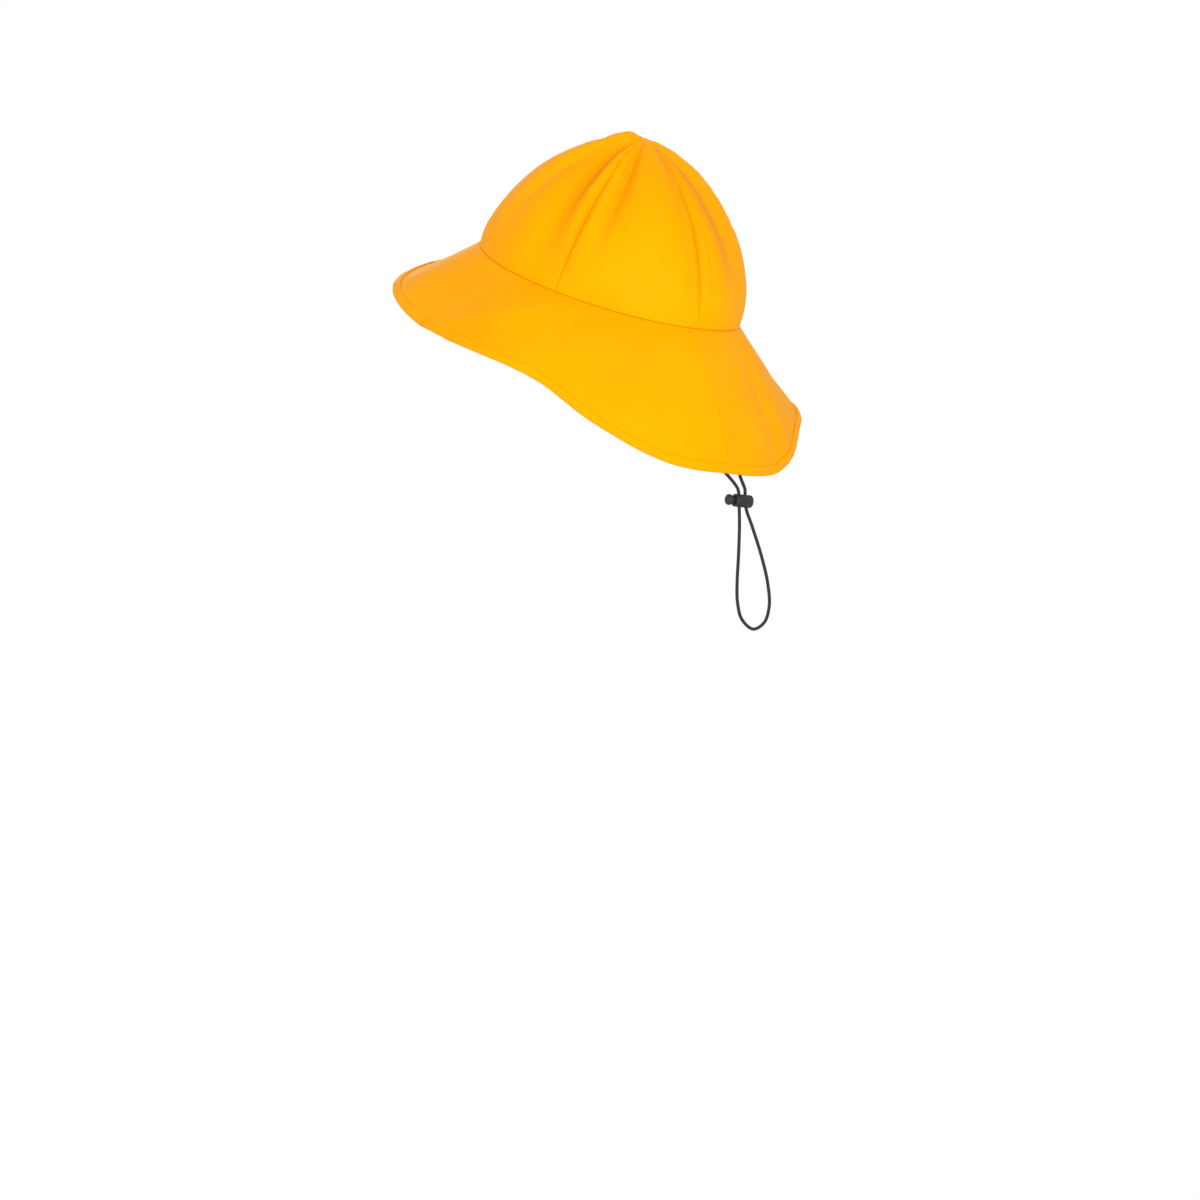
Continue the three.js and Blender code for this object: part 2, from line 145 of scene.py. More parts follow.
def turnOutwards(piece):
    work = bmesh.new()
    work.from_mesh(piece.data)
    bmesh.ops.recalc_face_normals(work, faces=work.faces)
    work.to_mesh(piece.data)
    work.free()


def keepResult(piece):
    # the evaluated mesh takes the place of the modifiers
    graph = bpy.context.evaluated_depsgraph_get()
    result = bpy.data.meshes.new_from_object(piece.evaluated_get(graph))
    piece.modifiers.clear()
    piece.data = result
    return piece


# ---- chin cord: one length from the left tab through the lock, round the loop and back to the right tab
chinCord = {
    "diameter": 0.0022,
    "ringStep": 0.0006,
    "sides": 24,
    "strands": 6,  # braid lobes round the cord
    "braidPitch": 0.0021,
    "braidRelief": 0.05,  # share of the radius
}
# the cord's route in mm: down from the left tab, round the loop, and down from the right tab
cordLeft = (
    (80.3, -4.2, -8.4), (80.2, -7.4, -15), (78.8, -4, -28), (74.5, 12, -47), (66, 34, -66),
    (52, 60, -85), (34, 83.5, -104), (14.5, 104, -122), (1, 118.5, -136.5), (-7.2, 125.6, -147.5),
    (-14.4, 127.2, -156), (-15.3, 127.3, -159.4),
)
cordLoop = (
    (-15.6, 127.3, -168.5), (-15.4, 127.8, -180), (-14.4, 128, -200), (-13.2, 128, -218),
    (-13.4, 128, -230), (-16.6, 128, -241), (-25.5, 128, -247), (-34.6, 128, -242),
    (-38.6, 128, -231), (-37.4, 128, -216), (-32.6, 128, -199), (-25.4, 127.8, -180),
    (-21, 127.3, -168.5),
)
cordRight = (
    (-80.3, -4.2, -8.4), (-80.2, -7.4, -15), (-79, -4, -28), (-75.5, 12, -47), (-68.5, 34, -66),
    (-57.5, 60, -85), (-44.5, 83.5, -104), (-31.5, 104, -122), (-21.5, 118.5, -136.5),
    (-17.6, 125.6, -147.5), (-20.2, 127.2, -156), (-20.3, 127.3, -159.4),
)


def smoothRoute(points, step):
    # centripetal curve through the points, in even steps
    points = np.asarray(points, float)
    ends = np.vstack([2 * points[0] - points[1], points, 2 * points[-1] - points[-2]])
    line = []
    for a, b, c, d in zip(ends, ends[1:], ends[2:], ends[3:]):
        before, here, after = (math.sqrt(np.linalg.norm(q - p)) for p, q in ((a, b), (b, c), (c, d)))
        leave = ((b - a) / before - (c - a) / (before + here) + (c - b) / here) * here
        enter = ((c - b) / here - (d - b) / (here + after) + (d - c) / after) * here
        t = np.linspace(0, 1, 60, endpoint=False)[:, None]
        line.append(
            b + leave * t + (3 * (c - b) - 2 * leave - enter) * t**2 + (2 * (b - c) + leave + enter) * t**3
        )
    line = np.vstack([*line, points[-1:]])
    run = runAlong(line, 0)
    even = np.linspace(0, run[-1], int(run[-1] / step) + 1)
    return between(even, run, line), run[-1]


def tubeAlong(name, line, sides, radiusAt):
    # a closed tube whose radius is radiusAt(angles, run), with its frame carried along the line
    ahead = unit(np.gradient(line, axis=0))
    side = unit(np.cross(ahead[0], (0.0, 0.0, 1.0)))
    angles = np.linspace(0, 2 * math.pi, sides, endpoint=False)
    run = runAlong(line, 0)
    rings = []
    for place, way, far in zip(line, ahead, run):
        side = unit(side - way * np.dot(side, way))
        third = np.cross(way, side)
        radius = radiusAt(angles, far)[:, None]
        rings.append(place + radius * (np.cos(angles)[:, None] * side + np.sin(angles)[:, None] * third))
    count = len(line)
    points = np.vstack([*rings, line[:1], line[-1:]])
    faces = []
    for i in range(count - 1):
        faces += ringFaces(i * sides, (i + 1) * sides, sides)
    start, end = count * sides, count * sides + 1
    for j in range(sides):
        k = (j + 1) % sides
        faces.append((start, k, j))
        faces.append((end, (count - 1) * sides + j, (count - 1) * sides + k))
    piece = meshFrom(name, points, faces)
    around = np.tile(angles / (2 * math.pi), count)
    setUv(piece, np.vstack([np.stack([around, np.repeat(run, sides)], axis=1), [(0, 0), (0, run[-1])]]))
    piece.data.shade_smooth()
    return piece


def makeChinCord():
    route = np.array(cordLeft + cordLoop + cordRight[::-1]) / 1000
    line, length = smoothRoute(route, chinCord["ringStep"])
    lobes = chinCord["strands"] / 2

    def braid(angles, far):
        turn = math.pi * far / chinCord["braidPitch"]
        one = np.abs(np.sin(lobes * angles + turn))
        other = np.abs(np.sin(lobes * angles - turn))
        return chinCord["diameter"] / 2 * (1 + chinCord["braidRelief"] * (np.maximum(one, other) - 0.9))

    return tubeAlong("chinCord", line, chinCord["sides"], braid), line, length


cordPiece, cordLine, cordLength = makeChinCord()
print("chin cord: %.3f m" % cordLength)

# ---- cord lock: a barrel with a cord slot and a spring plunger
cordLock = {
    "centre": (-0.018, 0.1273, -0.164),
    "radius": 0.0042,
    "length": 0.013,
    "wall": 0.0013,
    "travel": 0.003,
    "head": 0.0026,
    "gap": 0.0003,
    "slot": (0.0039, 0.0014),  # half width along the barrel and across it
    "lip": 0.0007,
    "lineDepth": 0.00025,  # a pressed line near each end
    "barrelSoft": 0.00012,
    "plungerSoft": 0.0001,
    "sides": 56,
}


def turned(name, profile):
    # turned about X through the lock's centre; the profile has pairs of place and radius, from axis to axis
    sides = cordLock["sides"]
    centre = np.array(cordLock["centre"])
    angles = np.linspace(0, 2 * math.pi, sides, endpoint=False)
    inner = profile[1:-1]
    points = [centre + (profile[0][0], 0, 0)]
    for along, radius in inner:
        for angle in angles:
            points.append(centre + (along, radius * math.cos(angle), radius * math.sin(angle)))
    points.append(centre + (profile[-1][0], 0, 0))
    faces = []
    for j in range(sides):
        k = (j + 1) % sides
        faces.append((0, 1 + k, 1 + j))
        for i in range(len(inner) - 1):
            a = 1 + i * sides
            faces.append((a + j, a + k, a + sides + k, a + sides + j))
        last = 1 + (len(inner) - 1) * sides
        faces.append((last + j, last + k, len(points) - 1))
    piece = meshFrom(name, points, faces)
    turnOutwards(piece)
    return piece


def slotCutter():
    # rounded upright slot through the barrel for the two strands
    halfAlong, halfAcross = cordLock["slot"]
    centre = np.array(cordLock["centre"])
    steps = 12
    outline = []
    for end, sign in ((1, 1), (-1, -1)):
        for i in range(steps + 1):
            angle = math.pi * (i / steps - 0.5) + (0 if end > 0 else math.pi)
            outline.append((
                end * (halfAlong - halfAcross) + halfAcross * math.cos(angle),
                halfAcross * math.sin(angle),
            ))
    count = len(outline)
    tall = cordLock["radius"] * 1.6
    points = [centre + (x, y, z) for z in (-tall, tall) for x, y in outline]
    faces = [tuple(reversed(range(count))), tuple(range(count, 2 * count)), *ringFaces(0, count, count)]
    return meshFrom("slotCutter", points, faces)


def cutAndSoften(piece, cutter, bevelWidth):
    cut = piece.modifiers.new("slot", "BOOLEAN")
    cut.operation = "DIFFERENCE"
    cut.solver = "EXACT"
    cut.object = cutter
    keepResult(piece)
    soften = piece.modifiers.new("soften", "BEVEL")
    soften.width = bevelWidth
    soften.segments = 2
    soften.limit_method = "ANGLE"
    soften.angle_limit = math.radians(40)
    keepResult(piece)
    piece.data.shade_smooth()
    piece.data.set_sharp_from_angle(angle=math.radians(42))
    return piece


def makeCordLock():
    radius, half = cordLock["radius"], cordLock["length"] / 2
    bore = radius - cordLock["wall"]
    lip, groove = cordLock["lip"], cordLock["lineDepth"]
    barrel = [
        (-half, 0), (-half, radius - lip), (-half + lip * 0.35, radius - lip * 0.3), (-half + lip, radius),
    ]
    for at in (-half + 0.0017, half - 0.0021):
        barrel += [(at - 0.0003, radius), (at - 0.0001, radius - groove)]
        barrel += [(at + 0.0001, radius - groove), (at + 0.0003, radius)]
    barrel += [
        (half - lip, radius), (half - lip * 0.35, radius - lip * 0.3), (half, radius - lip),
        (half, bore), (-half + cordLock["wall"], bore), (-half + cordLock["wall"], 0),
    ]
    stem = bore - cordLock["gap"]
    button = radius - cordLock["wall"] / 2
    under = half + cordLock["travel"]
    top = under + cordLock["head"]
    foot = -half + cordLock["wall"] + cordLock["gap"]
    plunger = [
        (foot, 0), (foot, stem), (under, stem), (under, button - 0.0003), (under + 0.0003, button),
        (top - 0.0011, button), (top - 0.0005, button - 0.0003), (top - 0.0001, button - 0.0009),
        (top - 0.0001, button - 0.0014), (top - 0.0003, button - 0.0017), (top - 0.0003, 0),
    ]
    cutter = slotCutter()
    pieces = [
        cutAndSoften(turned("lockBarrel", barrel), cutter, cordLock["barrelSoft"]),
        cutAndSoften(turned("lockPlunger", plunger), cutter, cordLock["plungerSoft"]),
    ]
    bpy.data.objects.remove(cutter)
    return pieces


lockBarrel, lockPlunger = makeCordLock()
print("cord lock made")

# ---- the hat's form
headband = {
    "length": 0.211,
    "width": 0.169,
    "tiltBack": 26.4,
    "sagAt": -60,  # where the crown sags over the brim
    "sagSpread": 32,
    "sagDrop": 0.0042,
    "sagPuff": 0.0026,
    "sagRise": 0.45,
    "seamHold": 0.12,  # share of the rise or reach over which the folds fade in
}
cloth = {
    "wall": 0.0014,
    "seamRoll": 0.0009,  # width over which an edge turns into its seam
    "seamSink": 0.0011,  # how deep it turns in
    "seamFade": 0.25,  # how much flatter the seams lie near the apex
    "bandRoll": 0.0008,
    "backSeamRoll": 0.001,
    "seamGap": 0.00004,
    "seamSettle": 0.003,  # from here to the seam the walls of two gores take the same direction
    "lip": 0.0012,  # how far the crown's inner edge reaches down behind the brim's
    "lipFade": 0.002,
    "quiet": 0.006,  # next to the headband seam the small creases fade out
}
crown = {
    "height": 0.0995,
    "shift": -0.0022,
    "taper": 1.15,
    "taperTurn": 0.14,
    "fill": 1.08,
    "gorePuff": 0.0016,
    "foldDepth": 0.0038,
    "foldSpread": 1.2,  # how much wider, in degrees, the folds grow towards the apex
    "dimple": 0.0022,  # where the six seams meet
    "dimpleRadius": 0.005,
    "profile": 0.15,  # length of a seam from the headband to the apex
    "seamPuckers": (13, 0.011, 0.0026, 0.0005),  # count, reach, width, depth
    "footPuckers": (8, 0.009, 0.0028, 0.00045),
    "waves": (0.07, 0.00028),  # longest wave, height
    "columns": 96,
    "rows": 124,
    "seed": 11,
}
# direction at the headband, direction near the apex
crownSeams = ((-4.5, 2), (61, 58), (120, 120), (180, 180), (240, 240), (300, 300))
# foot, top, low, high, half width in degrees, depth as a share of foldDepth, bend in degrees
crownFolds = (
    (71, 78, 0.02, 1.03, 6, -1.4, 0), (76, 92, 0.2, 1.05, 14, -0.8, 0),
    (63, 63, 0.06, 0.9, 3.5, 0.5, 0), (103, 97, 0.04, 0.93, 7, -0.7, 0),
    (115, 104, 0.2, 0.95, 8, 0.6, 0), (51, 46, 0.12, 0.94, 4, -1.1, 0), (46, 44, 0.2, 0.99, 9, -1, 0),
    (47, 47, -0.1, 0.4, 12, 0.4, 0), (20, 24, -0.1, 0.5, 7, -0.3, 0), (8, 8, -0.1, 0.5, 4, 0.4, 0),
    (5, 3, 0.2, 1.05, 8, -0.7, 0), (-4, 0, 0.03, 0.6, 3, 0.45, -4),
    (-7, -2, 0.05, 0.6, 1.6, -0.2, -4.5), (-34, -30, 0.05, 1.02, 14, -2.1, 0),
    (-60, -52, 0.05, 0.95, 9, 0.3, 0), (146, 145, 0.76, 0.96, 26, 0.8, 7.6),
    (145, 128, 0.09, 0.75, 26, -0.62, -16), (-61, -49, 0.1, 0.47, 7.1, -0.25, 2.6),
    (152, 148, 0.05, 0.9, 8, -0.5, 0), (205, 212, 0.1, 0.95, 7, -0.6, 0), (228, 226, 0, 0.7, 6, 0.3, 0),
    (268, 272, 0.05, 0.9, 9, -0.6, 0),
)
# painted shade along the creases, where the folds fall into shade: the cloth is painted deeper in colour
# there. Columns as above, with the strength of the painted shade for the depth
crownCreaseShade = (
    (70, 80, 0.05, 1.3, 7, 0.9, 0), (47, 38, 0.25, 1.2, 5.5, 0.6, 0), (-27, -8, 0.1, 1.2, 12, 0.55, 0),
    (6, 5, 0.4, 1.2, 7, 0.4, 0), (91, 86, 0.08, 0.8, 7, 0.3, 0), (62.5, 58, 0.02, 0.6, 2.5, 0.35, 0),
    (-4, -1, 0.02, 0.7, 2, 0.35, 0), (152, 148, 0.05, 1.1, 7, 0.5, 0), (205, 212, 0.1, 1.1, 7, 0.5, 0),
    (268, 272, 0.05, 1.1, 8, 0.5, 0),
)
# hollows along the seams: seam, low, high, half widths left and right in degrees, depth as above
seamHollows = (
    (0, 0.02, 0.66, 2.5, 4, 0.75), (1, 0.02, 0.72, 2.2, 5, 0.95), (2, 0.05, 0.9, 3, 3, 0.35),
    (3, 0.05, 0.9, 3, 2.5, 0.4), (4, 0.1, 0.95, 2.5, 3.5, 0.45), (5, 0, 0.9, 3, 2, 0.4),
)
brim = {
    "back": 0.111,
    "profile": 0.07,  # shortest width from the headband to the edge
    "fluteDepth": 0.003,
    "backRidge": 0.0026,  # the back seam stands up as a soft ridge
    "ridgeSpread": 0.018,
    "allowance": 0.00025,
    "bandPuckers": (46, 0.008, 0.003, 0.00035),  # count, reach, width, depth
    "edgePuckers": (60, 0.008, 0.003, 0.00035),
    "seamPuckers": (9, 0.008, 0.0028, 0.0004),
    "waves": (0.09, 0.0003),  # longest wave, height
    "columns": 640,
    "rows": 58,
    "seed": 23,
}
# direction, reach as a share of back, slope, bow
brimSections = (
    (0, 0.991, 40.8, 19.3), (15, 0.988, 39.8, 19.7), (30, 0.849, 37.9, 19.4), (45, 0.708, 33.8, 17.4),
    (60, 0.682, 32.1, 15), (90, 0.617, 39.4, 14), (120, 0.584, 40.1, 2), (150, 0.57, 38.4, -12),
    (180, 0.575, 32.2, -17), (210, 0.57, 34.4, -16), (240, 0.59, 36.6, -11), (270, 0.672, 46.7, -7.3),
    (300, 0.698, 44, 1), (315, 0.722, 45.3, 10), (330, 0.822, 46, 14.4), (345, 0.945, 43.2, 17.5),
)
# foot, top, low, high, half width in degrees, depth as a share of fluteDepth, bend in degrees
brimFlutes = (
    (-28, -15.7, 0, 1.3, 4.6, -0.62, 0), (-35, -25, 0.1, 1.35, 5, 0.42, 0),
    (-64, -64, 0.6, 1.4, 11, 0.9, 0), (-47, -33, -0.2, 0.55, 3.4, -0.55, 0),
    (-25, -38, 0.3, 0.95, 2.2, -0.3, 0), (-9, -10, 0.15, 1.9, 6, 0.2, 0),
    (14, 20, 0.35, 1.35, 12, 0.9, 0), (51, 93, 0, 1.3, 8, 0.55, 0), (98, 98, -0.2, 1.2, 16, -0.9, 0),
    (165, 160, 0.2, 2, 14, 0.6, 0), (208, 212, 0.2, 2, 13, -0.6, 0), (252, 248, 0.1, 2, 12, 0.7, 0),
)


def turnTo(start, end):
    return (np.asarray(end, float) - start + 180) % 360 - 180


def bumpAt(deg, at, spread):
    return np.exp(-((turnTo(at, deg) / spread) ** 2))


def fadeIn(value, edge):
    t = np.clip(value / edge, 0, 1)
    return t * t * (3 - 2 * t)


def foldHeight(folds, deg, share, spread):
    height = 0
    wider = 1 + spread * np.maximum(0, share - 0.4)
    for foot, top, low, high, width, depth, bend in folds:
        along = np.clip((share - low) / (high - low), 0, 1)
        swell = np.sin(math.pi * along)
        place = foot + (top - foot) * along + bend * swell
        height = height + depth * bumpAt(deg, place, width * wider) * swell
    return height * fadeIn(share, headband["seamHold"])


def hollowDepth(deg, share):
    # valleys that come to a crease on the seam itself
    depth = 0
    for k, low, high, left, right, deep in seamHollows:
        foot, top = crownSeams[k]
        aside = turnTo(foot + (top - foot) * share, deg)
        along = np.clip((share - low) / (high - low), 0, 1)
        width = np.where(aside > 0, left, right)
        depth = depth + deep * np.exp(-np.abs(aside) / width) * np.sin(math.pi * along) ** 0.6
    return depth * fadeIn(share, headband["seamHold"])


def brimValue(column, deg):
    # smooth value of a brim column at any direction, through the sections
    turns = np.array([section[0] for section in brimSections], float)
    values = np.array([section[column] for section in brimSections], float)
    turns = np.concatenate([turns[-2:] - 360, turns, turns[:3] + 360])
    values = np.concatenate([values[-2:], values, values[:3]])
    deg = np.asarray(deg, float) % 360
    k = np.searchsorted(turns, deg, side="right") - 1
    span = turns[k + 1] - turns[k]
    u = (deg - turns[k]) / span
    leave = (values[k + 1] - values[k - 1]) / (turns[k + 1] - turns[k - 1]) * span
    enter = (values[k + 2] - values[k]) / (turns[k + 2] - turns[k]) * span
    return (
        (2 * u**3 - 3 * u**2 + 1) * values[k] + (u**3 - 2 * u**2 + u) * leave
        + (3 * u**2 - 2 * u**3) * values[k + 1] + (u**3 - u**2) * enter
    )


def bandNormal(deg):
    t = np.radians(deg)
    return unit(np.stack([np.sin(t) / headband["width"], np.cos(t) / headband["length"], 0 * t], axis=-1))


def sagAt(deg):
    return bumpAt(deg, headband["sagAt"], headband["sagSpread"])


def crownForm(deg, rise):
    t = np.radians(deg)
    lift = rise * math.pi / 2
    radius = np.maximum(np.cos(lift), 0) ** (crown["taper"] - crown["taperTurn"] * np.cos(t))
    puff = headband["sagPuff"] * sagAt(deg) * np.sin(math.pi * np.minimum(1, rise / headband["sagRise"]))
    drop = headband["sagDrop"] * sagAt(deg) * (1 - rise) ** 2
    point = np.stack([
        headband["width"] / 2 * np.sin(t) * radius,
        headband["length"] / 2 * np.cos(t) * radius + crown["shift"] * (1 - np.cos(lift)),
        crown["height"] * np.sin(lift) ** crown["fill"] - drop,
    ], axis=-1)
    return point + bandNormal(deg) * puff[..., None]


def brimForm(deg, out):
    t = np.radians(deg)
    reach = brim["back"] * brimValue(1, deg) * out
    slope = np.radians(brimValue(2, deg) + brimValue(3, deg) * (out / 2 - 0.5))
    drop = headband["sagDrop"] * sagAt(deg)
    band = np.stack([
        headband["width"] / 2 * np.sin(t), headband["length"] / 2 * np.cos(t), -drop,
    ], axis=-1)
    point = band + bandNormal(deg) * (reach * np.cos(slope))[..., None]
    point[..., 2] -= reach * np.sin(slope)
    return point


def tipBack(points):
    turn = math.radians(headband["tiltBack"])
    x, y, z = points[..., 0], points[..., 1], points[..., 2]
    back = math.cos(turn) * y + math.sin(turn) * z
    up = math.cos(turn) * z - math.sin(turn) * y
    return np.stack([x, back, up], axis=-1)


def gridNormals(points, upward):
    # columns run round the hat and rows run upwards
    normals = np.cross(np.gradient(points, axis=1), np.gradient(points, axis=0)) * upward
    size = np.linalg.norm(normals, axis=-1, keepdims=True)
    return normals / np.maximum(size, 1e-12)


def seamRoll(distance, width, depth):
    # how deep an edge has turned in at a distance from its seam
    inside = np.clip(1 - distance / width, 0, 1)
    return depth * (1 - np.sqrt(1 - inside**2))


def puckers(random, kind, along, away, total):
    # short creases that run out of a seam: along is the place on the seam, away the distance from it
    count, reach, width, depth = kind
    height = 0
    for i in range(count):
        at = total * (i + random.uniform(0.15, 0.85)) / count
        slant = random.uniform(-0.5, 0.5)
        long = reach * random.uniform(0.5, 1.4)
        wide = width * random.uniform(0.7, 1.4)
        deep = depth * random.uniform(0.3, 1)
        aside = (along - at - slant * away) / wide
        height = height - deep * np.exp(-(aside**2) - (away / long) ** 2)
    return height


def softWaves(random, points, kind):
    # faint waves of the cloth, from crossing waves in space
    longest, height = kind
    total = 0
    for k in range(9):
        way = unit(random.normal(size=3))
        wave = longest * 0.8**k
        total = total + 0.85**k * np.sin(2 * math.pi * (points @ way) / wave + random.uniform(0, 6.3))
    return total * height / 3


def shell(name, outer, inner, uv, crease=None):
    # closed wall between two grids, with flat faces round its edges
    columns, rows = outer.shape[0], outer.shape[1]
    index = np.arange(columns * rows).reshape(columns, rows)
    under = index + columns * rows
    quads = [
        np.stack([index[:-1, :-1], index[:-1, 1:], index[1:, 1:], index[1:, :-1]], -1).reshape(-1, 4),
        np.stack([under[:-1, :-1], under[1:, :-1], under[1:, 1:], under[:-1, 1:]], -1).reshape(-1, 4),
        np.stack([index[:-1, 0], index[1:, 0], under[1:, 0], under[:-1, 0]], -1),
        np.stack([index[:-1, -1], under[:-1, -1], under[1:, -1], index[1:, -1]], -1),
        np.stack([index[0, :-1], under[0, :-1], under[0, 1:], index[0, 1:]], -1),
        np.stack([index[-1, :-1], index[-1, 1:], under[-1, 1:], under[-1, :-1]], -1),
    ]
    piece = meshFrom(name, np.vstack([outer.reshape(-1, 3), inner.reshape(-1, 3)]), np.vstack(quads))
    setUv(piece, np.vstack([uv.reshape(-1, 2)] * 2))
    # the painted shade along the creases goes on the points as an attribute
    if crease is not None:
        layer = piece.data.attributes.new("crease", "FLOAT", "POINT")
        layer.data.foreach_set("value", np.tile(crease.ravel(), 2).astype(np.float32))
    smooth = np.arange(len(piece.data.polygons)) < 2 * len(quads[0])
    piece.data.polygons.foreach_set("use_smooth", smooth)
    mergeDoubles(piece, 2e-6)
    return piece


rollSteps = np.array([0, 0.00005, 0.00018, 0.0004, 0.0007, 0.0011, 0.0016, 0.0023])


def spacedRow(width, count):
    # places across a strip of cloth, closer together where its edges roll in
    near = rollSteps * min(1, 0.25 * width / rollSteps[-1])
    middle = np.linspace(near[-1], width - near[-1], count - 2 * len(near) + 2)[1:-1]
    return np.concatenate([near, middle, width - near[::-1]])


def makeGore(k):
    random = np.random.default_rng(crown["seed"] + k)
    low, high = crownSeams[k], crownSeams[(k + 1) % len(crownSeams)]
    foot = rollSteps / crown["profile"]
    rise = np.concatenate([foot, np.linspace(foot[-1], 1, crown["rows"] - len(foot) + 1)[1:]])
    seamFrom = low[0] + (low[1] - low[0]) * rise
    seamTo = high[0] + (high[1] - high[0]) * rise
    span = turnTo(seamFrom, seamTo)
    coarse = np.linspace(0, 1, 25)[:, None]
    trial = crownForm(seamFrom + span * coarse, rise + 0 * coarse)
    width = np.linalg.norm(np.diff(trial, axis=0), axis=-1).sum(0)
    gap = cloth["seamGap"] / 2
    across = np.stack([spacedRow(max(w, 1e-5), crown["columns"]) / max(w, 1e-5) for w in width], axis=1)
    inset = np.minimum(gap / np.maximum(width, 1e-5), 0.02)
    deg = seamFrom + span * (inset + across * (1 - 2 * inset))
    share = np.broadcast_to(rise, deg.shape)
    form = crownForm(deg, share)
    up = runAlong(form, 1)
    fromLeft, fromRight = across * width, (1 - across) * width
    fromSeam = np.minimum(fromLeft, fromRight)
    axisDistance = np.linalg.norm(form[..., :2] - (0, crown["shift"]), axis=-1)
    total = up[:, -1].max()
    height = crown["gorePuff"] * np.sin(math.pi * across) * np.sin(math.pi * share)
    folds = foldHeight(crownFolds, deg, share, crown["foldSpread"]) - hollowDepth(deg, share)
    height = height + crown["foldDepth"] * folds
    small = 0
    for away in (fromLeft, fromRight):
        small = small + puckers(random, crown["seamPuckers"], up, away, total) * fadeIn(width, 0.02)
    small = small + puckers(random, crown["footPuckers"], fromLeft, up, width[0])
    small = small + softWaves(random, form, crown["waves"]) * fadeIn(fromSeam, 0.012)
    height = height + small * fadeIn(up, cloth["quiet"])
    height = height - crown["dimple"] * np.exp(-((axisDistance / crown["dimpleRadius"]) ** 2))
    normals = gridNormals(form, 1)
    normals[:, -1] = (0, 0, 1)
    smooth = form + normals * height[..., None]
    slim = np.minimum(1 - cloth["seamFade"] * fadeIn(share - 0.4, 0.4), width * 0.2 / cloth["seamRoll"])
    sink = seamRoll(fromSeam, np.maximum(cloth["seamRoll"] * slim, 1e-7), cloth["seamSink"] * slim)
    # both gores turn in the same way at their seam, so that no light comes through
    loose = fadeIn(fromSeam, cloth["seamSettle"])[..., None]
    walls = unit(gridNormals(smooth, 1) * loose + normals * (1 - loose))
    walls[:, -1] = (0, 0, 1)
    tuck = bandNormal(deg) * seamRoll(up, cloth["bandRoll"], cloth["bandRoll"])[..., None]
    outer = smooth - walls * sink[..., None] - tuck
    outer[..., 2] += gap * np.exp(-up / cloth["lipFade"])
    inner = smooth - walls * np.maximum(cloth["wall"], sink + 0.0003)[..., None] - tuck
    inner[..., 2] -= cloth["lip"] * np.exp(-up / cloth["lipFade"])
    inner[:, -1] = inner[:, -1].mean(axis=0)
    outer[:, -1] = outer[:, -1].mean(axis=0)
    uv = np.stack([(across - 0.5) * width, up], axis=-1)
    # painted shade: how much darker the colour is painted along the creases, stored on the points
    crease = np.clip(foldHeight(crownCreaseShade, deg, share, 0), 0, 1)
    piece = shell("crownGore%d" % (k + 1), tipBack(outer), tipBack(inner), uv, crease)
    area = (np.diff(up, axis=1)[:-1] * (np.diff(across, axis=0) * width)[:, :-1]).sum()
    return piece, (float(width[0]), float(total), float(area))


gores = [makeGore(k) for k in range(len(crownSeams))]
print("crown: %d gores" % len(gores))


def brimGrid(columns, rows):
    # upright brim as a grid that runs from its edge up to the headband
    random = np.random.default_rng(brim["seed"])
    around = headband["length"] / 2 * math.pi / 180  # metres to a degree near the back seam
    near = rollSteps / around
    middle = np.linspace(near[-1], 360 - near[-1], columns - 2 * len(near) + 2)[1:-1]
    gap = cloth["seamGap"] / 2 / around
    deg = np.clip(np.concatenate([near, middle, 360 - near[::-1]]), gap, 360 - gap)
    top = rollSteps / brim["profile"]
    out = np.concatenate([top, np.linspace(top[-1], 1, rows - len(top) + 1)[1:]])[::-1]
    deg, out = np.meshgrid(deg, out, indexing="ij")
    form = brimForm(deg, out)
    reach = brim["back"] * brimValue(1, deg) * out
    edge = brim["back"] * brimValue(1, deg) * (1 - out)
    ridge = turnTo(0, deg) * around * (1 + reach * 6)
    aside = np.abs(ridge)
    height = brim["fluteDepth"] * foldHeight(brimFlutes, deg, out, 0)
    ringPlace = deg / 360
    small = 0
    for place, kind in ((reach, "bandPuckers"), (edge, "edgePuckers")):
        small = small + puckers(random, brim[kind], ringPlace * 0.9, place, 0.9)
    small = small + puckers(random, brim["seamPuckers"], reach, aside, brim["back"])
    small = small + softWaves(random, form, brim["waves"]) * fadeIn(reach, 0.02)
    # the seam allowance lies on the right
    small = small + brim["allowance"] * np.exp(-(((ridge + 0.0021) / 0.0014) ** 2))
    small = small + brim["backRidge"] * np.exp(-aside / brim["ridgeSpread"]) * fadeIn(reach, 0.03)
    height = height + small * fadeIn(reach, cloth["quiet"])
    normals = gridNormals(form, 1)
    smooth = form + normals * height[..., None]
    sink = seamRoll(aside, cloth["backSeamRoll"], cloth["backSeamRoll"])
    tuck = bandNormal(deg) * seamRoll(reach, cloth["bandRoll"], cloth["bandRoll"])[..., None]
    outer = smooth - normals * sink[..., None] - tuck
    outer[..., 2] -= cloth["seamGap"] / 2 * np.exp(-reach / cloth["lipFade"])
    return deg, outer, reach


def makeBrim():
    deg, outer, reach = brimGrid(brim["columns"], brim["rows"])
    inner = outer - gridNormals(outer, 1) * cloth["wall"]
    girth = runAlong(outer, 0)
    uv = np.stack([girth - girth[-1] / 2, reach], axis=-1)
    piece = shell("brimPanel", tipBack(outer), tipBack(inner), uv)
    area = (np.diff(girth, axis=0)[:, :-1] * -np.diff(reach, axis=1)[:-1]).sum()
    return piece, deg[:, 0], outer, float(girth[-1, 0]), float(area)


brimPiece, brimDegrees, brimOuter, brimEdge, brimArea = makeBrim()
print("brim: edge %.3f m, area %.4f m2" % (brimEdge, brimArea))

